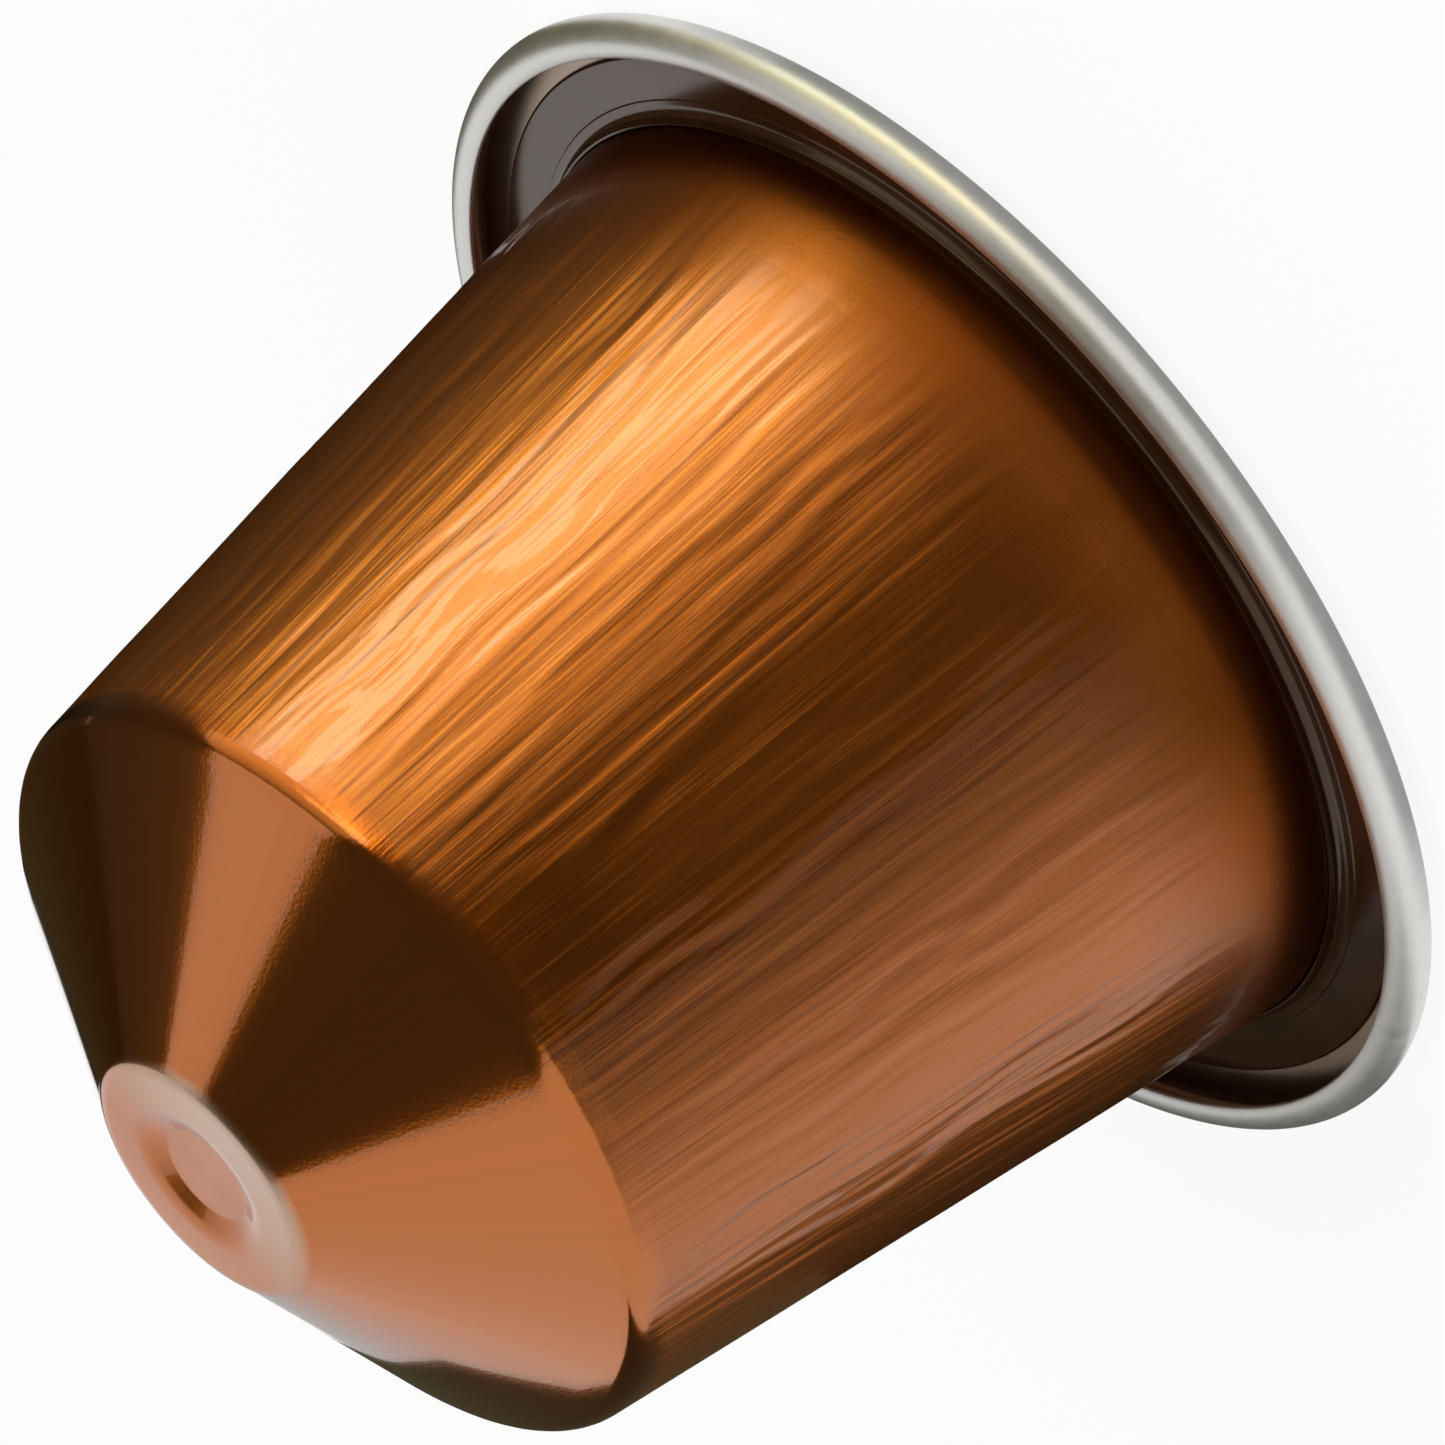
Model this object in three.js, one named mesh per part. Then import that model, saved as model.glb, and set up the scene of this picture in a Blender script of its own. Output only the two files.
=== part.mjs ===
// A single-serve coffee pod: a deep-drawn aluminium cup, sealed over its fill of ground coffee.
// Millimetres. Z is the pod's axis: z = 0 is the underside of the lid, and the nose points up.

import * as THREE from "three";

// Sheet and foil
const SHEET = 0.15;
const LID_THICKNESS = 0.05;

// Flange and its rolled rim
const FLANGE_RADIUS = 18.5;
const FLANGE_WIDTH = 3.48;
const CURL_RADIUS = 0.65;
const CURL_END_ANGLE = 118;
const LID_TO_CURL = 0.6;

// Body, with the shoulder given as a sharp corner before its fillet
const WALL_BASE_FILLET = 0.25;
const SHOULDER_RADIUS = 11.95;
const SHOULDER_HEIGHT = 24.2;
const SHOULDER_FILLET = 1.0;

// Nose cone, and the tip that stands a little proud of it; angles from the flange's plane
const NOSE_ANGLE = 30;
const TIP_FOOT_RADIUS = 4.1;
const TIP_SIDE_ANGLE = 60;
const TIP_RISE = 0.27;
const TIP_FOOT_FILLET = 0.15;
const TIP_EDGE_FILLET = 0.42;

// Round recess in the tip
const RECESS_LIP_RADIUS = 2.42;
const RECESS_FLOOR_RADIUS = 2.1;
const RECESS_DEPTH = 0.66;
const RECESS_LIP_FILLET = 0.4;
const RECESS_FLOOR_FILLET = 0.12;

// Sealing compound: a thin ring on the web, with a bead run up into the corner by the wall
const SEAL_THICKNESS = 0.15;
const SEAL_TO_CURL = 0.9;
const SEAL_EDGE_FILLET = 0.1;
const BEAD_HEIGHT = 0.6;
const BEAD_WIDTH = 0.45;
const BEAD_LIP = 0.06;
const BEAD_FILLET = 0.32;
const BEAD_STEP = 0.04;
const SEAL_CLEARANCE = 0.05;

// Facets
const FACETS_AROUND = 72;
const DEGREES_PER_FACET = 20;
const DEGREES_PER_CUT_EDGE_FACET = 45;

const radians = THREE.MathUtils.degToRad;

// Heights and radii that follow from the sizes above
const webUnderside = LID_THICKNESS;
const webTop = webUnderside + SHEET;
const curlCentre = point(FLANGE_RADIUS - CURL_RADIUS, webUnderside + CURL_RADIUS);
const wallBaseRadius = FLANGE_RADIUS - FLANGE_WIDTH;
const wallSlope = (wallBaseRadius - SHOULDER_RADIUS) / (SHOULDER_HEIGHT - webTop);
const noseHeight = (SHOULDER_RADIUS - TIP_FOOT_RADIUS) * Math.tan(radians(NOSE_ANGLE));
const tipFootHeight = SHOULDER_HEIGHT + noseHeight;
const tipTop = tipFootHeight + TIP_RISE;
const tipTopRadius = TIP_FOOT_RADIUS - TIP_RISE / Math.tan(radians(TIP_SIDE_ANGLE));

// Outlines are drawn in a half-plane through the axis: radius outwards, height upwards
function point(radius, height) {
  return new THREE.Vector2(radius, height);
}

function wallRadius(height) {
  return wallBaseRadius - (height - webTop) * wallSlope;
}

// Points on an arc between two angles in degrees, both ends included
function arc(centre, radius, start, end, degreesPerFacet = DEGREES_PER_FACET) {
  const steps = Math.max(2, Math.ceil(Math.abs(end - start) / degreesPerFacet));
  const points = [];
  for (let i = 0; i <= steps; i++) {
    const angle = radians(start + ((end - start) * i) / steps);
    const spoke = point(Math.cos(angle), Math.sin(angle)).multiplyScalar(radius);
    points.push(spoke.add(centre));
  }
  return points;
}

// Points of the arc that rounds the corner between two straight stretches
function fillet(before, corner, after, radius) {
  const back = before.clone().sub(corner).normalize();
  const ahead = after.clone().sub(corner).normalize();
  const halfAngle = Math.acos(back.dot(ahead)) / 2;
  const bisector = back.clone().add(ahead).normalize();
  const centre = corner.clone().addScaledVector(bisector, radius / Math.sin(halfAngle));
  const tangentLength = radius / Math.tan(halfAngle);
  const first = corner.clone().addScaledVector(back, tangentLength).sub(centre);
  const last = corner.clone().addScaledVector(ahead, tangentLength).sub(centre);
  const turn = Math.atan2(first.cross(last), first.dot(last));
  const start = THREE.MathUtils.radToDeg(first.angle());
  return arc(centre, radius, start, start + THREE.MathUtils.radToDeg(turn));
}

// An outline through corners, each a point and its fillet radius; a radius of 0 stays sharp
function roundedOutline(corners) {
  const points = [];
  corners.forEach(([corner, radius], i) => {
    if (radius === 0) {
      points.push(corner);
    } else {
      points.push(...fillet(corners[i - 1][0], corner, corners[i + 1][0], radius));
    }
  });
  return points;
}

// A solid of revolution about the pod's axis, from an outline that runs anticlockwise
function turned(name, outline, material) {
  const geometry = new THREE.LatheGeometry(outline, FACETS_AROUND).rotateX(Math.PI / 2);
  const mesh = new THREE.Mesh(geometry, material);
  mesh.name = name;
  return mesh;
}

// The web runs out flat, then rolls up and back towards the nose and stops over the trough, so
// the roll shows the bare inner face of the sheet and its cut edge
function rolledRim() {
  const endAngle = radians(CURL_END_ANGLE);
  const middle = CURL_RADIUS - SHEET / 2;
  const edgeCentre = point(Math.cos(endAngle), Math.sin(endAngle)).multiplyScalar(middle).add(curlCentre);
  const edgeEnd = CURL_END_ANGLE + 180;
  const cutEdge = arc(edgeCentre, SHEET / 2, CURL_END_ANGLE, edgeEnd, DEGREES_PER_CUT_EDGE_FACET);
  const innerRadius = CURL_RADIUS - SHEET;
  return [
    ...arc(curlCentre, CURL_RADIUS, -90, 0),
    ...arc(curlCentre, CURL_RADIUS, 0, CURL_END_ANGLE).slice(1, -1),
    ...cutEdge,
    ...arc(curlCentre, innerRadius, CURL_END_ANGLE, -90).slice(1),
  ];
}

// Wall, shoulder, nose cone, tip and recess, from the trough of the flange to the axis
function body() {
  const floorHeight = tipTop - RECESS_DEPTH;
  return roundedOutline([
    [point(curlCentre.x, webTop), 0],
    [point(wallBaseRadius, webTop), WALL_BASE_FILLET],
    [point(SHOULDER_RADIUS, SHOULDER_HEIGHT), SHOULDER_FILLET],
    [point(TIP_FOOT_RADIUS, tipFootHeight), TIP_FOOT_FILLET],
    [point(tipTopRadius, tipTop), TIP_EDGE_FILLET],
    [point(RECESS_LIP_RADIUS, tipTop), RECESS_LIP_FILLET],
    [point(RECESS_FLOOR_RADIUS, floorHeight), RECESS_FLOOR_FILLET],
    [point(0, floorHeight), 0],
  ]);
}

// The drawn sheet is thin and the coffee is packed tight against it, so the cup and what it is
// sealed around are one solid
function cup() {
  const lacquer = new THREE.MeshStandardMaterial({ color: 0xb5662d, metalness: 0.9, roughness: 0.35 });
  const outline = [point(0, webUnderside), ...rolledRim(), ...body().slice(1)];
  return turned("cup", outline, lacquer);
}

function sealRing() {
  const compound = new THREE.MeshStandardMaterial({ color: 0x1e0f08, metalness: 0, roughness: 0.2 });
  const outerRadius = curlCentre.x - SEAL_TO_CURL;
  const ringTop = webTop + SEAL_THICKNESS;
  const beadTop = webTop + BEAD_HEIGHT;
  const innerFoot = wallBaseRadius + SEAL_CLEARANCE;
  const innerTop = wallRadius(beadTop) + SEAL_CLEARANCE;
  const beadEdge = innerFoot + BEAD_WIDTH;
  const outline = roundedOutline([
    [point(outerRadius, webTop), 0],
    [point(outerRadius, ringTop), SEAL_EDGE_FILLET],
    [point(beadEdge + BEAD_STEP, ringTop), 0],
    [point(beadEdge, ringTop + BEAD_STEP), 0],
    [point(innerTop + BEAD_LIP, ringTop + BEAD_STEP), BEAD_FILLET],
    [point(innerTop + BEAD_LIP, beadTop), 0],
    [point(innerTop, beadTop), 0],
    [point(innerFoot, webTop), WALL_BASE_FILLET],
    [point(outerRadius, webTop), 0],
  ]);
  return turned("seal_ring", outline, compound);
}

// A flat disc welded to the underside of the web, clear of the roll
function foilLid() {
  const foil = new THREE.MeshStandardMaterial({ color: 0xc9cac6, metalness: 0.9, roughness: 0.3 });
  const radius = curlCentre.x - LID_TO_CURL;
  const outline = [point(0, 0), point(radius, 0), point(radius, LID_THICKNESS), point(0, LID_THICKNESS)];
  return turned("foil_lid", outline, foil);
}

const pod = new THREE.Group();
pod.add(cup(), sealRing(), foilLid());

export default pod;
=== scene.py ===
"""A single-serve coffee pod, dressed and lit: lacquered cup, bare rolled rim, sealing ring, foil lid."""

import math

import bpy
from mathutils import Matrix, Vector, noise


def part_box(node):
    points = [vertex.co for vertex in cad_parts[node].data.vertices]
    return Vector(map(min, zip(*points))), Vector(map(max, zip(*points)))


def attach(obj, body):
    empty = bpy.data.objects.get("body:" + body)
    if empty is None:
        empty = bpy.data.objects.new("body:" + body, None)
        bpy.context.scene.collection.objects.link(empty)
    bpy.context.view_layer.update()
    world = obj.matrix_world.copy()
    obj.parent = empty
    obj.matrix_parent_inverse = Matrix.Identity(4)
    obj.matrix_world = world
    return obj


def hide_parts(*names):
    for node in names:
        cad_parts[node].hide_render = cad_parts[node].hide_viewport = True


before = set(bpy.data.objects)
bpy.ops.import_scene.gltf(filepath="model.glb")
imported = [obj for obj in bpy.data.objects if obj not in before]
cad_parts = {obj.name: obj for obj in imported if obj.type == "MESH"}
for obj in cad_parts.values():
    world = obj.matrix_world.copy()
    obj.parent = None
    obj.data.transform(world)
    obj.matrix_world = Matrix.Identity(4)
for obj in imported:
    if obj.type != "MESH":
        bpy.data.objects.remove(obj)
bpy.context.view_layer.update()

# Sizes are in millimetres until a mesh is made of them
MM = 0.001
cup_low, cup_high = (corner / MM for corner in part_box("cup"))
seal_low, seal_high = (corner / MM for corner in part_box("seal_ring"))
lid_low, lid_high = (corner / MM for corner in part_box("foil_lid"))

# The rolled rim, the web of the flange and the wall
FLANGE_RADIUS = cup_high.x
FLANGE_WIDTH = 3.48
SHEET = seal_low.z - cup_low.z
CURL_RADIUS = 0.65
CURL_END_ANGLE = 118
SKIN_END_ANGLE = CURL_END_ANGLE - 3
WALL_BASE_RADIUS = FLANGE_RADIUS - FLANGE_WIDTH
WALL_BASE_FILLET = 0.25
WEB_UNDERSIDE = cup_low.z
WEB_MIDDLE = WEB_UNDERSIDE + SHEET / 2
WEB_TOP = seal_low.z
CURL_CENTRE = Vector((FLANGE_RADIUS - CURL_RADIUS, WEB_UNDERSIDE + CURL_RADIUS))
LID_RADIUS = lid_high.x

# Shoulder, nose, tip and recess
SHOULDER_RADIUS = 11.95
SHOULDER_HEIGHT = 24.2
SHOULDER_FILLET = 1.0
WALL_SLOPE = (WALL_BASE_RADIUS - SHOULDER_RADIUS) / (SHOULDER_HEIGHT - WEB_TOP)
TIP_TOP = cup_high.z
TIP_RISE = 0.27
TIP_FOOT_RADIUS = 4.1
TIP_SIDE_SLOPE = math.tan(math.radians(39))
TIP_FOOT_FILLET = 0.3
TIP_EDGE_FILLET = 0.9
RECESS_LIP_RADIUS = 2.2
RECESS_FLOOR_RADIUS = 1.5
RECESS_DEPTH = 0.3
RECESS_LIP_FILLET = 1.6
RECESS_FLOOR_FILLET = 0.2

# Sealing compound
SEAL_THICKNESS = 0.15
SEAL_EDGE_FILLET = 0.1
BEAD_WIDTH = 0.45
BEAD_LIP = 0.06
BEAD_FILLET = 0.32
BEAD_STEP = 0.04
SEAL_CLEARANCE = 0.05

# Drawing lines in the wall: width, depth and how far along the wall a line runs before it changes
DRAW_LINES = ((2.6, 0.04, 26.0), (0.9, 0.045, 10.0), (0.4, 0.03, 7.0))
LINE_SWAY = 0.05
SWAYS_AROUND = 5
SWAY_LENGTH = 3.0
LINES_START = 1.5, 7.0
LINES_END = 20.5, 23.4

# Steps round the axis of each piece's mesh, and the longest step along an outline
BODY_STEPS = 840
CURL_STEPS = 720
SEAL_STEPS = 720
LID_STEPS = 360
BODY_LONGEST = 0.75
LID_LONGEST = 1.5
SHARP_ANGLE = math.radians(40)

# Where the look of the lacquer changes: by height, by radius, and across the tip towards the camera
GLOSS_START = 3.0, 6.0
# Painted shade: the lacquer darkens from the upper of these heights down to the lower, towards the rim
PAINTED_SHADE_FADE = 0.8, 7.3
NOSE_START = 23.1, 24.0
# Painted reflection: beyond these radii, in the trough and inside the roll, the lacquer turns a paler
# grey-brown
TROUGH_REFLECTION_START = 15.2, 15.5
TIP_EDGE = 3.8, 4.1
# Painted sheen: the tip is paler from these radii out to its edge, and more so on the side towards the
# camera
TIP_SHEEN_RING_START = 1.7, 2.3
TIP_SHEEN_SIDE_START = -1.125, 3.375
STREAKS_AROUND = 38
STREAKS_ALONG = 80

# Colours; a pair is the two ends that a finish varies between
COPPER = (0.41, 0.110, 0.0143, 1), (0.47, 0.129, 0.0168, 1)
# Painted shade of the lacquer low on the wall, by the rim
COPPER_PAINTED_SHADE = (0.17, 0.04, 0.006, 1)
# Painted reflection: a paler grey-brown for the trough and the inside of the roll
COPPER_PAINTED_REFLECTION = (0.36, 0.27, 0.21, 1)
# Painted sheen on the near side of the tip ring
COPPER_PAINTED_SHEEN = (0.48, 0.33, 0.235, 1)
ALUMINIUM = (0.66, 0.66, 0.64, 1), (0.79, 0.79, 0.77, 1)
COMPOUND = (0.018, 0.006, 0.002, 1), (0.035, 0.011, 0.003, 1)
COMPOUND_GLINT = (1.0, 0.8, 0.62, 1)
FOIL = (0.64, 0.64, 0.62, 1), (0.78, 0.78, 0.75, 1)

# The photograph's camera: where it stands, what it looks at, its roll and its long lens
CAMERA_PLACE = Vector((0.0, -728.5, 336.4))
CAMERA_AIM = Vector((0.6, -2.04, 9.39))
CAMERA_ROLL = -2.2579
PHOTO_PIXELS = 1445
FOCAL_PIXELS = 29393
SENSOR = 36.0
CAMERA_CLIP = 0.01, 20.0


def place_camera():
    """Place the camera at the photograph's angle, rolled so that the nose points to the lower left."""
    ahead = (CAMERA_AIM - CAMERA_PLACE).normalized()
    right = ahead.cross(Vector((0, 0, 1))).normalized()
    up = right.cross(ahead)
    rolled_right = math.cos(CAMERA_ROLL) * right + math.sin(CAMERA_ROLL) * up
    rolled_up = math.cos(CAMERA_ROLL) * up - math.sin(CAMERA_ROLL) * right
    turn = Matrix((rolled_right, rolled_up, -ahead)).transposed()
    data = bpy.data.cameras.new("camera")
    data.sensor_width = SENSOR
    data.lens = FOCAL_PIXELS / PHOTO_PIXELS * SENSOR
    data.clip_start, data.clip_end = CAMERA_CLIP
    camera = bpy.data.objects.new("camera", data)
    camera.matrix_world = Matrix.Translation(CAMERA_PLACE * MM) @ turn.to_4x4()
    bpy.context.collection.objects.link(camera)
    bpy.context.scene.camera = camera


# Outlines, in a half-plane through the axis: radius, then height

def arc(centre, radius, start, end, steps):
    """Points on an arc between two angles in degrees, both ends included."""
    points = []
    for i in range(steps + 1):
        angle = math.radians(start + (end - start) * i / steps)
        points.append(centre + radius * Vector((math.cos(angle), math.sin(angle))))
    return points


def fillet(before, corner, after, radius, steps):
    """Points of the arc that rounds the corner between two straight stretches."""
    back = (before - corner).normalized()
    ahead = (after - corner).normalized()
    half_angle = back.angle(ahead) / 2
    centre = corner + (back + ahead).normalized() * (radius / math.sin(half_angle))
    tangent_length = radius / math.tan(half_angle)
    first = corner + back * tangent_length - centre
    last = corner + ahead * tangent_length - centre
    start = math.degrees(math.atan2(first.y, first.x))
    turn = math.degrees(math.atan2(first.x * last.y - first.y * last.x, first.dot(last)))
    return arc(centre, radius, start, start + turn, steps)


def rounded(corners, steps=8):
    """An outline through corners, each a radius, a height and the fillet that rounds it."""
    points = [Vector((r, z)) for r, z, _ in corners]
    outline = []
    for i, (_, _, radius) in enumerate(corners):
        if radius == 0:
            outline.append(points[i])
        else:
            outline += fillet(points[i - 1], points[i], points[i + 1], radius, steps)
    return outline


def subdivided(outline, longest):
    """The same outline with no stretch longer than the given length."""
    points = [outline[0]]
    for start, end in zip(outline, outline[1:]):
        pieces = max(1, math.ceil((end - start).length / longest))
        points += [start.lerp(end, (i + 1) / pieces) for i in range(pieces)]
    return points


def turned(name, outline, around, shift=None):
    """A closed piece turned about the axis; shift(bearing, radius, height) moves a point outwards."""
    vertices = []
    rows = []
    for radius, height in outline:
        count = 1 if radius < 1e-6 else around
        rows.append([len(vertices) + i for i in range(count)])
        for i in range(count):
            bearing = 2 * math.pi * i / around
            out = radius + (shift(bearing, radius, height) if shift and count > 1 else 0)
            vertices.append((out * math.cos(bearing) * MM, out * math.sin(bearing) * MM, height * MM))
    if outline[0].x > 0:
        rows.append(rows[0])
    faces = []
    for low, high in zip(rows, rows[1:]):
        for i in range(around):
            j = (i + 1) % around
            if len(low) == 1:
                faces.append((low[0], high[j], high[i]))
            elif len(high) == 1:
                faces.append((low[i], low[j], high[0]))
            else:
                faces.append((low[i], low[j], high[j], high[i]))
    mesh = bpy.data.meshes.new(name)
    mesh.from_pydata(vertices, [], faces)
    mesh.shade_smooth()
    mesh.set_sharp_from_angle(angle=SHARP_ANGLE)
    piece = bpy.data.objects.new(name, mesh)
    bpy.context.collection.objects.link(piece)
    return piece


# Shader maths

class Value:
    """A node's output, so that shader maths reads as an expression; an operator adds a Math node."""

    def __init__(self, finish, socket):
        self.finish = finish
        self.socket = socket

    def output(self, name):
        return Value(self.finish, self.socket.node.outputs[name])

    def math(self, operation, *others):
        given = dict(enumerate((self, *others)))
        return self.finish.node("ShaderNodeMath", {"operation": operation}, given)

    def __add__(self, other):
        return self.math("ADD", other)

    __radd__ = __add__

    def __sub__(self, other):
        return self.math("SUBTRACT", other)

    def __rsub__(self, other):
        return self.finish.node("ShaderNodeMath", {"operation": "SUBTRACT"}, {0: other, 1: self})

    def __mul__(self, other):
        return self.math("MULTIPLY", other)

    __rmul__ = __mul__

    def __truediv__(self, other):
        return self.math("DIVIDE", other)

    def clamped(self):
        return self.math("MAXIMUM", 0.0).math("MINIMUM", 1.0)

    def rising(self, start, end):
        """0 up to the start, 1 from the end on and even between them, both in millimetres."""
        return ((self - start * MM) / ((end - start) * MM)).clamped()


class Finish:
    """A node tree of a material or of the world, filled by one method that adds any node."""

    def __init__(self, owner):
        self.owner = owner
        owner.use_nodes = True
        self.tree = owner.node_tree
        self.tree.nodes.clear()

    def node(self, kind, settings=None, inputs=None):
        """Add a node, settings first, then its sockets' values or links; gives its first output."""
        made = self.tree.nodes.new(kind)
        for name, setting in (settings or {}).items():
            setattr(made, name, setting)
        for name, given in (inputs or {}).items():
            if isinstance(given, Value):
                self.tree.links.new(given.socket, made.inputs[name])
            else:
                made.inputs[name].default_value = given
        return Value(self, made.outputs[0]) if made.outputs else None

    def mix_colour(self, factor, first, second):
        given = {0: factor, 6: first, 7: second}
        return self.node("ShaderNodeMix", {"data_type": "RGBA"}, given).output(2)


def material(name):
    """A new material, still empty, as a tree to fill."""
    return Finish(bpy.data.materials.new(name))


def sheet_coordinates(finish, around, along):
    """Coordinates for a pattern on the wall: around the pod, and stretched along its axis."""
    place = finish.node("ShaderNodeTexCoord").output("Object")
    flat = finish.node("ShaderNodeVectorMath", {"operation": "MULTIPLY"}, {0: place, 1: (1, 1, 0)})
    direction = finish.node("ShaderNodeVectorMath", {"operation": "NORMALIZE"}, {0: flat})
    ring = finish.node("ShaderNodeVectorMath", {"operation": "SCALE"}, {0: direction, "Scale": around})
    rise = finish.node("ShaderNodeVectorMath", {"operation": "MULTIPLY"}, {0: place, 1: (0, 0, along)})
    return finish.node("ShaderNodeVectorMath", {"operation": "ADD"}, {0: ring, 1: rise})


def lacquer():
    """Copper orange lacquer over drawn aluminium: streaked along the wall, smoother on the nose, with
    painted shade by the rim, a painted reflection in the trough and a painted sheen on the near side of the
    tip ring.
    """
    finish = material("copper_lacquer")
    place = finish.node("ShaderNodeTexCoord").output("Object")
    parts = finish.node("ShaderNodeSeparateXYZ", {}, {0: place})
    height = parts.output("Z")
    flat = finish.node("ShaderNodeVectorMath", {"operation": "MULTIPLY"}, {0: place, 1: (1, 1, 0)})
    radius = finish.node("ShaderNodeVectorMath", {"operation": "LENGTH"}, {0: flat}).output("Value")
    above_rim = height.rising(*GLOSS_START)
    nose = height.rising(*NOSE_START)
    # Painted reflection: mask of the trough and the inside of the roll
    trough = radius.rising(*TROUGH_REFLECTION_START)
    tip = 1 - radius.rising(*TIP_EDGE)
    to_camera = 0 - parts.output("Y")
    # Painted sheen: mask of the tip ring's side towards the camera
    painted_tip_sheen = tip * radius.rising(*TIP_SHEEN_RING_START) * to_camera.rising(*TIP_SHEEN_SIDE_START)
    sheet = sheet_coordinates(finish, STREAKS_AROUND, STREAKS_ALONG)
    streaks = finish.node("ShaderNodeTexNoise", {}, {"Vector": sheet, "Scale": 1.0, "Detail": 4.0})
    grain = finish.node("ShaderNodeTexNoise", {}, {"Vector": place, "Scale": 9000.0, "Detail": 2.0})
    plain = finish.mix_colour(streaks, *COPPER)
    # Painted shade: darker copper towards the rim
    shaded = finish.mix_colour(height.rising(*PAINTED_SHADE_FADE), COPPER_PAINTED_SHADE, plain)
    # Painted reflection in the trough
    with_trough_reflection = finish.mix_colour(trough, shaded, COPPER_PAINTED_REFLECTION)
    # Painted sheen on the tip ring
    colour = finish.mix_colour(painted_tip_sheen, with_trough_reflection, COPPER_PAINTED_SHEEN)
    bump_height = streaks * above_rim * (1 - nose) + grain * (0.05 - nose * 0.01)
    normal = finish.node(
        "ShaderNodeBump", {}, {"Strength": 1.0, "Distance": 0.00006, "Height": bump_height}
    )
    roughness = 0.29 - nose * 0.21 + tip * 0.16 + streaks * 0.05
    shader = finish.node("ShaderNodeBsdfPrincipled", {}, {
        "Base Color": colour, "Metallic": 1.0, "Roughness": roughness, "Anisotropic": 0.6,
        "Normal": normal, "Coat Weight": above_rim * 0.75, "Coat Roughness": 0.04, "Coat IOR": 1.5,
    })
    finish.node("ShaderNodeOutputMaterial", {}, {"Surface": shader})
    return finish.owner


def bare_aluminium():
    """Satin sheet without lacquer, with faint marks of the rolling tool round the rim."""
    finish = material("bare_aluminium")
    place = finish.node("ShaderNodeTexCoord").output("Object")
    mottle = finish.node("ShaderNodeTexNoise", {}, {"Vector": place, "Scale": 1500.0, "Detail": 5.0})
    grain = finish.node("ShaderNodeTexNoise", {}, {"Vector": place, "Scale": 14000.0, "Detail": 2.0})
    colour = finish.mix_colour(mottle, *ALUMINIUM)
    normal = finish.node(
        "ShaderNodeBump", {}, {"Strength": 0.15, "Distance": 0.00003, "Height": grain + mottle * 0.5}
    )
    shader = finish.node("ShaderNodeBsdfPrincipled", {}, {
        "Base Color": colour, "Metallic": 1.0, "Roughness": 0.40 + mottle * 0.12, "Normal": normal,
    })
    finish.node("ShaderNodeOutputMaterial", {}, {"Surface": shader})
    return finish.owner


def compound():
    """Dark brown sealing compound that has flowed level and set glossy."""
    finish = material("sealing_compound")
    place = finish.node("ShaderNodeTexCoord").output("Object")
    ripple = finish.node("ShaderNodeTexNoise", {}, {"Vector": place, "Scale": 600.0, "Detail": 3.0})
    colour = finish.mix_colour(ripple, *COMPOUND)
    normal = finish.node("ShaderNodeBump", {}, {"Strength": 0.1, "Distance": 0.00005, "Height": ripple})
    shader = finish.node("ShaderNodeBsdfPrincipled", {}, {
        "Base Color": colour, "Metallic": 0.0, "Roughness": 0.14 + ripple * 0.08, "IOR": 1.5,
        "Normal": normal, "Specular Tint": COMPOUND_GLINT,
    })
    finish.node("ShaderNodeOutputMaterial", {}, {"Surface": shader})
    return finish.owner


def foil():
    """Thin bright foil of the lid, slightly rippled by the fill and the weld."""
    finish = material("lid_foil")
    place = finish.node("ShaderNodeTexCoord").output("Object")
    ripple = finish.node("ShaderNodeTexNoise", {}, {"Vector": place, "Scale": 260.0, "Detail": 5.0})
    colour = finish.mix_colour(ripple, *FOIL)
    normal = finish.node("ShaderNodeBump", {}, {"Strength": 0.5, "Distance": 0.0002, "Height": ripple})
    shader = finish.node("ShaderNodeBsdfPrincipled", {}, {
        "Base Color": colour, "Metallic": 1.0, "Roughness": 0.24 + ripple * 0.1, "Normal": normal,
    })
    finish.node("ShaderNodeOutputMaterial", {}, {"Surface": shader})
    return finish.owner


# The pieces

def smoothstep(low, high, value):
    """0 below the low end, 1 above the high one, with a soft rise between them."""
    share = min(1.0, max(0.0, (value - low) / (high - low)))
    return share * share * (3 - 2 * share)


def round_place(bearing, radius, height):
    """The point at a bearing, a radius and a height."""
    return Vector((math.cos(bearing) * radius, math.sin(bearing) * radius, height))


def draw_lines(bearing, radius, height):
    """How far the fine lines left by deep drawing stand out of the wall, in millimetres."""
    reach = smoothstep(*LINES_START, height) * (1 - smoothstep(*LINES_END, height))
    if reach == 0 or not SHOULDER_RADIUS - SHOULDER_FILLET <= radius <= WALL_BASE_RADIUS:
        return 0.0
    sway = LINE_SWAY * noise.noise(round_place(bearing, SWAYS_AROUND, height / SWAY_LENGTH))
    depth = 0.0
    for width, amount, length in DRAW_LINES:
        place = round_place(bearing + sway, WALL_BASE_RADIUS / width, height / length)
        depth += amount * noise.noise(place)
    return reach * depth


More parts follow.
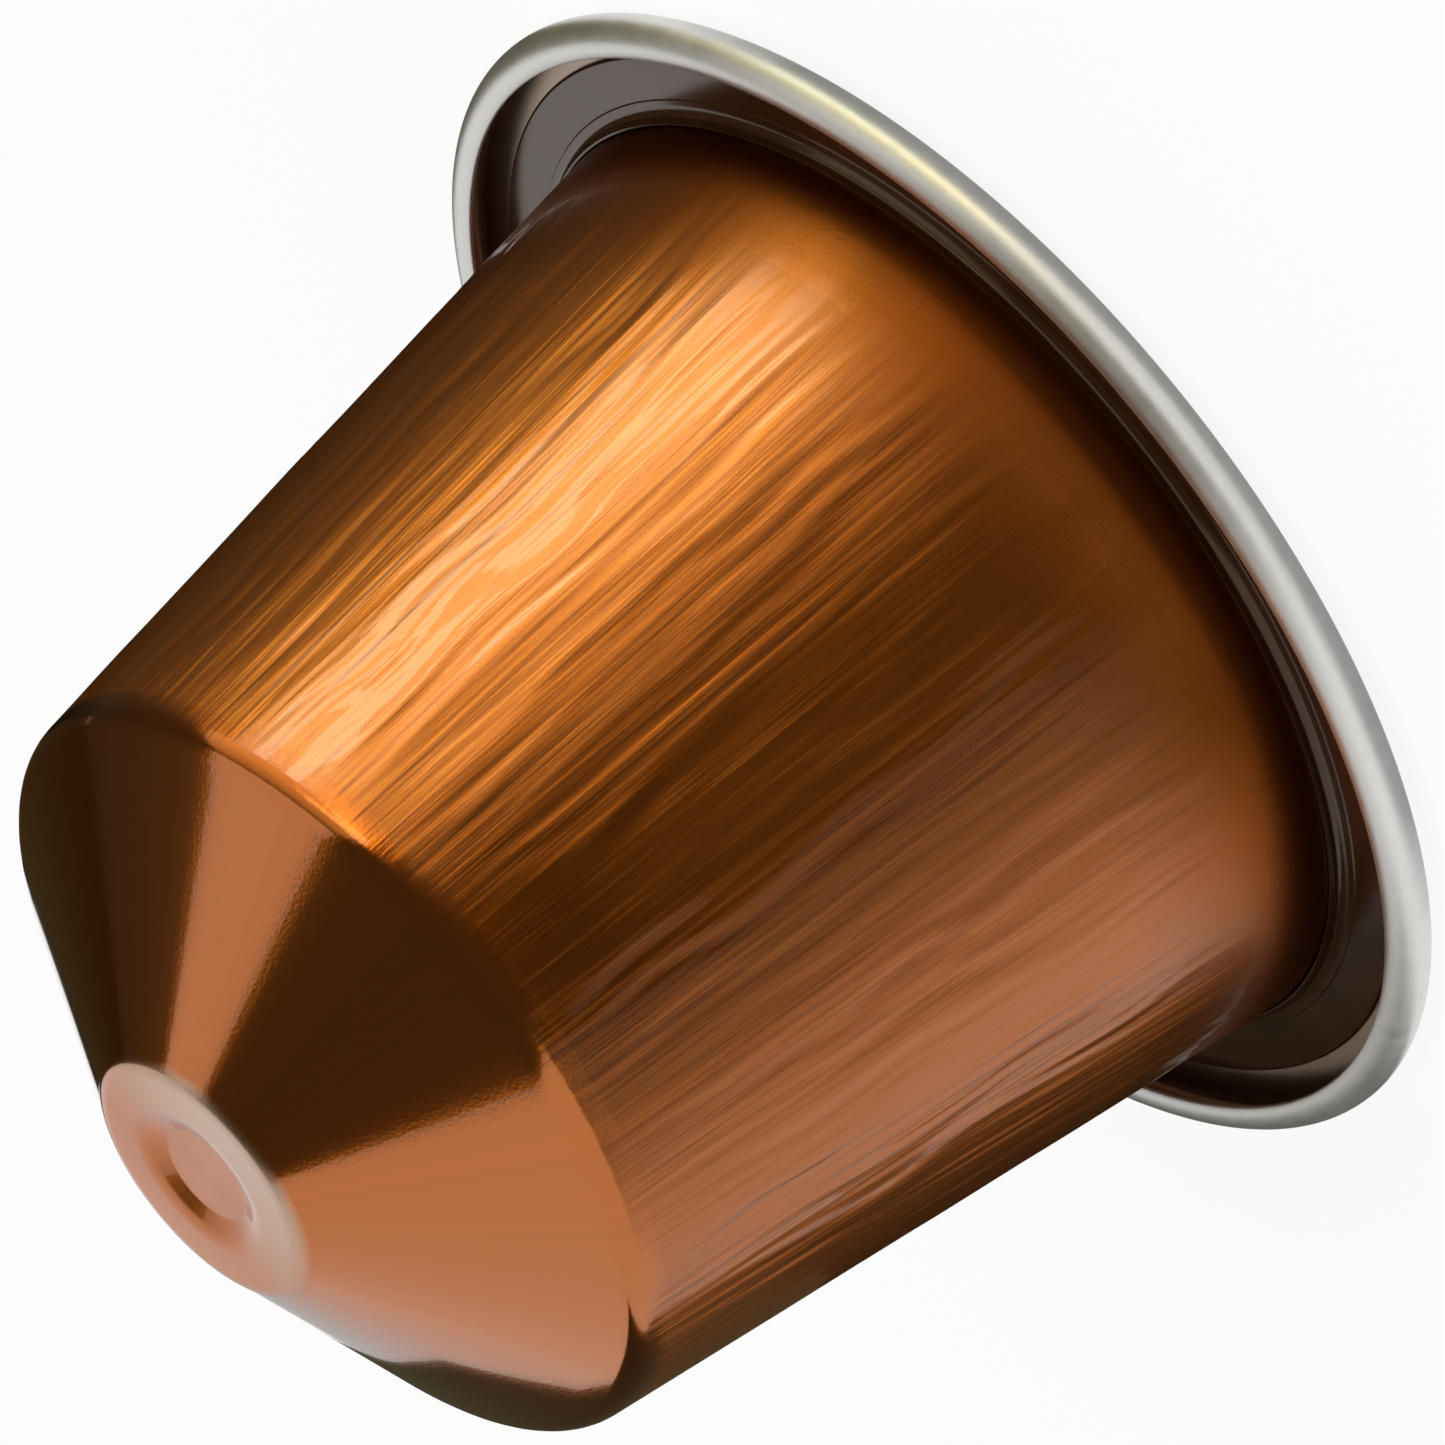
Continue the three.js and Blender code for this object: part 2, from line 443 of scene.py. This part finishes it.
def make_cup_body():
    """The lacquered side of the sheet: trough and inside of the roll, wall, nose, tip and recess."""
    middle_radius = CURL_RADIUS - SHEET / 2
    inner_radius = CURL_RADIUS - SHEET
    tip_foot = TIP_TOP - TIP_RISE
    tip_top_radius = TIP_FOOT_RADIUS - TIP_RISE / TIP_SIDE_SLOPE
    floor = TIP_TOP - RECESS_DEPTH
    skin = rounded([
        (CURL_CENTRE.x, WEB_TOP, 0),
        (WALL_BASE_RADIUS, WEB_TOP, WALL_BASE_FILLET),
        (SHOULDER_RADIUS, SHOULDER_HEIGHT, SHOULDER_FILLET),
        (TIP_FOOT_RADIUS, tip_foot, TIP_FOOT_FILLET),
        (tip_top_radius, TIP_TOP, TIP_EDGE_FILLET),
        (RECESS_LIP_RADIUS, TIP_TOP, RECESS_LIP_FILLET),
        (RECESS_FLOOR_RADIUS, floor, RECESS_FLOOR_FILLET),
        (0, floor, 0),
    ], steps=6)
    outline = [Vector((0, WEB_MIDDLE))]
    outline += arc(CURL_CENTRE, middle_radius, -90, SKIN_END_ANGLE, steps=8)
    outline += arc(CURL_CENTRE, inner_radius, CURL_END_ANGLE, -90, steps=14)
    outline += subdivided(skin, BODY_LONGEST)[1:]
    piece = turned("cup_body", outline, BODY_STEPS, draw_lines)
    piece.data.materials.append(lacquer())
    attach(piece, "root")
    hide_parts("cup")


def make_cup_curl():
    """The bare side of the sheet, which shows on the roll and at its cut edge."""
    middle_radius = CURL_RADIUS - SHEET / 2
    end = math.radians(CURL_END_ANGLE)
    edge_centre = CURL_CENTRE + middle_radius * Vector((math.cos(end), math.sin(end)))
    outline = [Vector((0, WEB_UNDERSIDE)), Vector((LID_RADIUS, WEB_UNDERSIDE))]
    outline += arc(CURL_CENTRE, CURL_RADIUS, -90, 0, steps=12)
    outline += arc(CURL_CENTRE, CURL_RADIUS, 0, CURL_END_ANGLE, steps=20)[1:]
    outline += arc(edge_centre, SHEET / 2, CURL_END_ANGLE, CURL_END_ANGLE + 180, steps=8)[1:]
    outline += arc(CURL_CENTRE, middle_radius, SKIN_END_ANGLE, -90, steps=10)
    outline += [Vector((0, WEB_MIDDLE))]
    piece = turned("cup_curl", outline, CURL_STEPS)
    piece.data.materials.append(bare_aluminium())
    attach(piece, "root")
    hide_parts("cup")


def make_seal_ring():
    """The thin ring of compound on the web, with its bead run up into the corner by the wall."""
    outer = seal_high.x
    ring_top = WEB_TOP + SEAL_THICKNESS
    bead_top = seal_high.z
    inner_foot = WALL_BASE_RADIUS + SEAL_CLEARANCE
    inner_top = inner_foot - (bead_top - WEB_TOP) * WALL_SLOPE
    bead_edge = inner_foot + BEAD_WIDTH
    outline = rounded([
        (outer, WEB_TOP, 0),
        (outer, ring_top, SEAL_EDGE_FILLET),
        (bead_edge + BEAD_STEP, ring_top, 0),
        (bead_edge, ring_top + BEAD_STEP, 0),
        (inner_top + BEAD_LIP, ring_top + BEAD_STEP, BEAD_FILLET),
        (inner_top + BEAD_LIP, bead_top, 0),
        (inner_top, bead_top, 0),
        (inner_foot, WEB_TOP, WALL_BASE_FILLET),
        (outer, WEB_TOP, 0),
    ], steps=8)[:-1]
    piece = turned("seal_compound", outline, SEAL_STEPS)
    piece.data.materials.append(compound())
    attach(piece, "root")
    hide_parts("seal_ring")


def make_foil_lid():
    """The foil disc under the flange."""
    outline = [
        Vector((0, lid_low.z)), Vector((LID_RADIUS, lid_low.z)),
        Vector((LID_RADIUS, lid_high.z)), Vector((0, lid_high.z)),
    ]
    piece = turned("lid_foil", subdivided(outline, LID_LONGEST), LID_STEPS)
    piece.data.materials.append(foil())
    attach(piece, "root")
    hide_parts("foil_lid")


# The studio

FLOOR_HEIGHT = -0.2
FLOOR_HALF = 4000.0
FLOOR_GLOW = 0.88
ROOM_LIGHT = 0.55
CARD_HEIGHT = -0.1


def light_paths(finish):
    """1 for a ray from the camera, or one that metal or glass sends on; 0 for soft light."""
    paths = finish.node("ShaderNodeLightPath")
    mirrored = paths.output("Is Glossy Ray") + paths.output("Is Transmission Ray")
    return (paths.output("Is Camera Ray") + mirrored).clamped()


def make_world():
    world = bpy.data.worlds.new("studio")
    bpy.context.scene.world = world
    finish = Finish(world)
    seen = light_paths(finish)
    colour = finish.mix_colour(seen, (ROOM_LIGHT, ROOM_LIGHT, ROOM_LIGHT, 1), (1, 1, 1, 1))
    background = finish.node("ShaderNodeBackground", {}, {"Color": colour, "Strength": 1.0})
    finish.node("ShaderNodeOutputWorld", {}, {"Surface": background})


def make_floor():
    """A pale floor that keeps the pod's shadow."""
    finish = material("pale_floor")
    seen = light_paths(finish)
    plain = finish.node("ShaderNodeBsdfDiffuse", {}, {"Color": (0.85, 0.85, 0.85, 1)})
    white = finish.node("ShaderNodeEmission", {}, {"Color": (1, 1, 1, 1), "Strength": 1.0})
    mixed = finish.node("ShaderNodeMixShader", {}, {0: seen * FLOOR_GLOW, 1: plain, 2: white})
    finish.node("ShaderNodeOutputMaterial", {}, {"Surface": mixed})
    half = FLOOR_HALF * MM
    level = FLOOR_HEIGHT * MM
    mesh = bpy.data.meshes.new("floor")
    mesh.from_pydata(
        [(-half, -half, level), (half, -half, level), (half, half, level), (-half, half, level)],
        [], [(0, 1, 2, 3)]
    )
    mesh.materials.append(finish.owner)
    floor = bpy.data.objects.new("floor", mesh)
    bpy.context.collection.objects.link(floor)


# Tints of the glowing cards, painted reflections that stand in for a lamp, a white wall and the warm dim
# corners of the room
PAINTED_LAMP = Vector((0.94, 1.1, 0.84))
WHITE = Vector((1.0, 1.0, 1.0))
AMBER = Vector((1.0, 0.84, 0.45))
EMBER = Vector((1.0, 0.62, 0.2))


def card(name, corners, faces, tones):
    """A glowing card that shows only as a mirror image in gloss, a painted reflection, with a colour at
    each of its corners.
    """
    finish = material(name)
    colour = finish.node("ShaderNodeAttribute", {"attribute_name": "tone"})
    glow = finish.node("ShaderNodeEmission", {}, {"Color": colour, "Strength": 1.0})
    finish.node("ShaderNodeOutputMaterial", {}, {"Surface": glow})
    mesh = bpy.data.meshes.new(name)
    mesh.from_pydata([Vector(corner) * MM for corner in corners], [], faces)
    stored = mesh.color_attributes.new("tone", "FLOAT_COLOR", "POINT")
    for corner, tone in zip(stored.data, tones):
        corner.color = (*tone, 1)
    mesh.materials.append(finish.owner)
    made = bpy.data.objects.new(name, mesh)
    bpy.context.collection.objects.link(made)
    made.visible_camera = False
    made.visible_diffuse = False
    made.visible_shadow = False
    made.visible_transmission = False


def plain_card(name, corners, tone):
    card(name, corners, [tuple(range(len(corners)))], [tone] * len(corners))


POD_MIDDLE = Vector((0, 0, 14))
TOWARDS_CAMERA = (CAMERA_PLACE - POD_MIDDLE).normalized()
DARK = AMBER * 0.01

# Painted reflections on the floor card, the tones that the wall mirrors, by the bearing from the camera's
# side in degrees
FLOOR_TONES = [
    (-92, DARK), (-67, DARK), (-63, WHITE * 0.25), (-61, WHITE * 0.95), (-50, WHITE),
    (-42, WHITE * 0.75), (-32, WHITE * 0.4), (-24, WHITE * 0.3), (-16, WHITE * 0.2), (-15, DARK), (1, DARK),
    (8, AMBER * 0.15), (16, AMBER * 0.6), (24, AMBER * 1.7), (28, PAINTED_LAMP * 1.6), (30.5, PAINTED_LAMP * 2.4),
    (33, PAINTED_LAMP * 6.5), (35.5, PAINTED_LAMP * 2.2), (39, PAINTED_LAMP * 5.4), (41.5, PAINTED_LAMP * 2.2), (44, PAINTED_LAMP * 1.2),
    (46, AMBER * 0.4), (54, AMBER * 0.15), (66, AMBER * 0.06), (80, DARK), (92, DARK),
]

# How far the wall faces up, in degrees, and where the floor card starts and ends for it
WALL_TILT = math.degrees(math.atan(WALL_SLOPE))
FLOOR_CARD_START = 2.2
FLOOR_CARD_END = 300.0
SHORT_CARD_END = 32.0
SHORT_CARD_BEARING = -67
FLOOR_CARD_STEP = 4

# How far from the shoulder the sky cards stand
NEAR = 30.0
FAR = 400.0
SHOULDER_PLACE = 12.0, 22.0
SKY_CARD_STEPS = 10

# The shade beside the roll: the bearing and how much of the light is left
RIM_SHADE = ((-65, 1.0), (-45, 0.4), (45, 0.3), (65, 1.0))
RIM_SHADE_RADII = 18, 28


def outward(bearing):
    """The level direction at a bearing in degrees from the camera's side."""
    angle = math.radians(bearing)
    return Vector((math.sin(angle), -math.cos(angle), 0))


def mirrored(bearing, tilt):
    """The direction that the camera sees in a surface with this bearing and tilt."""
    slant = math.radians(tilt)
    normal = outward(bearing) * math.cos(slant) + Vector((0, 0, math.sin(slant)))
    return 2 * TOWARDS_CAMERA.dot(normal) * normal - TOWARDS_CAMERA


def mirrored_floor(bearing, height):
    """The point at the card's level that the camera sees in the wall."""
    ray = mirrored(bearing, WALL_TILT)
    radius = WALL_BASE_RADIUS - (height - WEB_TOP) * WALL_SLOPE
    start = outward(bearing) * radius + Vector((0, 0, height))
    return start + ray * ((start.z - CARD_HEIGHT) / -ray.z)


def make_floor_card():
    """The card round the pod that gives the wall its bands of light and dark."""
    corners = []
    faces = []
    tones = []
    for (first, first_tone), (last, last_tone) in zip(FLOOR_TONES, FLOOR_TONES[1:]):
        steps = max(1, round((last - first) / FLOOR_CARD_STEP))
        for i in range(steps + 1):
            bearing = first + (last - first) * i / steps
            end = SHORT_CARD_END if bearing < SHORT_CARD_BEARING else FLOOR_CARD_END
            corners += [mirrored_floor(bearing, height) for height in (FLOOR_CARD_START, end)]
            tones += [first_tone.lerp(last_tone, i / steps)] * 2
            if i > 0:
                n = len(corners)
                faces.append((n - 4, n - 3, n - 1, n - 2))
    card("floor_card", corners, faces, tones)


def sky_card(name, distance, edges, fade=1.0):
    """A curved card; a row gives a tilt, the bearings it shows between and the tone that then fades."""
    radius, height = SHOULDER_PLACE
    steps = SKY_CARD_STEPS
    corners = []
    faces = []
    tones = []
    for row, (tilt, first, last, tone) in enumerate(edges):
        for i in range(steps + 1):
            bearing = first + (last - first) * i / steps
            ray = mirrored(bearing, tilt)
            start = outward(bearing) * radius + Vector((0, 0, height))
            reach = min(distance, start.z / -ray.z) if ray.z < 0 else distance
            corners.append(start + ray * reach)
            tones.append(tone * (1 + (fade - 1) * i / steps))
            if row > 0 and i > 0:
                n = len(corners) - 1
                faces.append((n - 1, n, n - steps - 1, n - steps - 2))
    card(name, corners, faces, tones)


def make_rim_card():
    """The shade round the near side of the rim, which gives the roll its dark outer edge."""
    corners = []
    faces = []
    tones = []
    level_of_card = Vector((0, 0, CARD_HEIGHT))
    for bearing, level in RIM_SHADE:
        corners += [outward(bearing) * radius + level_of_card for radius in RIM_SHADE_RADII]
        tones += [WHITE * level] * 2
        if len(corners) > 2:
            n = len(corners)
            faces.append((n - 4, n - 3, n - 1, n - 2))
    card("rim_card", corners, faces, tones)


def make_back_card():
    """The shade on the floor behind the pod and on the wall that rises from it."""
    corners = [
        (-260, 90, 0), (-5, 90, 0), (-5, 300, 0), (-260, 300, 0), (-5, 300, 140), (-260, 300, 140),
    ]
    levels = (0.5, 0.5, 0.58, 0.58, 0.95, 0.95)
    card("back_card", corners, [(0, 1, 2, 3), (3, 2, 4, 5)], [WHITE * level for level in levels])


def make_cards():
    make_floor_card()
    make_rim_card()
    make_back_card()
    dim = AMBER * 0.1
    sky_card("dark_card_front", NEAR, [
        (10.5, -15, 20, dim), (20, -15.5, 20, dim), (33, -17, 23, dim), (46, -18, 24, dim),
        (50, -18, 24, dim),
    ])
    sky_card("dark_card_above", FAR, [(44, -18, 24, dim), (60, -19, 25.5, dim), (71, -19, 26, dim)])
    sky_card("glow_card", FAR, [
        (10.5, 19, 31, AMBER * 4), (15, 19, 31, AMBER * 4), (20, 20, 31, AMBER * 3), (24, 20, 31, AMBER),
    ])
    sky_card("amber_card", FAR * 1.1, [
        (10.5, 28, 50, AMBER * 1.6), (18, 24, 50, AMBER * 1.4), (28, 20, 48, AMBER * 0.9),
        (36, 20, 48, AMBER * 0.3),
    ])
    sky_card("dark_card_right", FAR, [
        (10.5, 50, 76, dim), (20, 50, 76, dim), (33, 47, 76, dim), (46, 47, 76, dim * 1.3),
        (60, 46.5, 76, dim * 1.4),
        (66, 46, 76, dim * 1.4),
    ], fade=0.5)
    sky_card("dark_card_side", FAR, [
        (30, 76, 102, EMBER * 0.05), (46, 76, 113, EMBER * 0.05), (60, 76, 125, EMBER * 0.05),
        (66, 76, 125, EMBER * 0.05),
    ])
    plain_card("dark_card_far", [(15, 100, 0), (300, 100, 0), (300, 2000, 0), (240, 2000, 0)], DARK * 3)
    plain_card("dark_card_left", [
        (-90, 40, 0), (-5, 40, 0), (-5, 40, 12), (-11, 40, 19.5), (-15.5, 40, 25.5),
        (-20.5, 40, 31.5), (-27, 40, 36),
        (-90, 40, 80),
    ], AMBER * 0.06)


def make_lamp(name, place, aim, size, power):
    data = bpy.data.lights.new(name, "AREA")
    data.shape = "SQUARE"
    data.size = size
    data.energy = power
    lamp = bpy.data.objects.new(name, data)
    lamp.location = place
    lamp.rotation_mode = "QUATERNION"
    lamp.rotation_quaternion = (Vector(aim) - Vector(place)).to_track_quat("-Z", "Y")
    lamp.visible_glossy = False
    bpy.context.collection.objects.link(lamp)


def make_studio():
    make_world()
    make_floor()
    make_cards()
    make_lamp("soft_lamp", place=(0.5, -0.3, 1.2), aim=(0, 0, 0), size=1.2, power=9.0)
    bpy.context.scene.view_settings.view_transform = "Standard"


place_camera()
make_cup_body()
make_cup_curl()
make_seal_ring()
make_foil_lid()
make_studio()
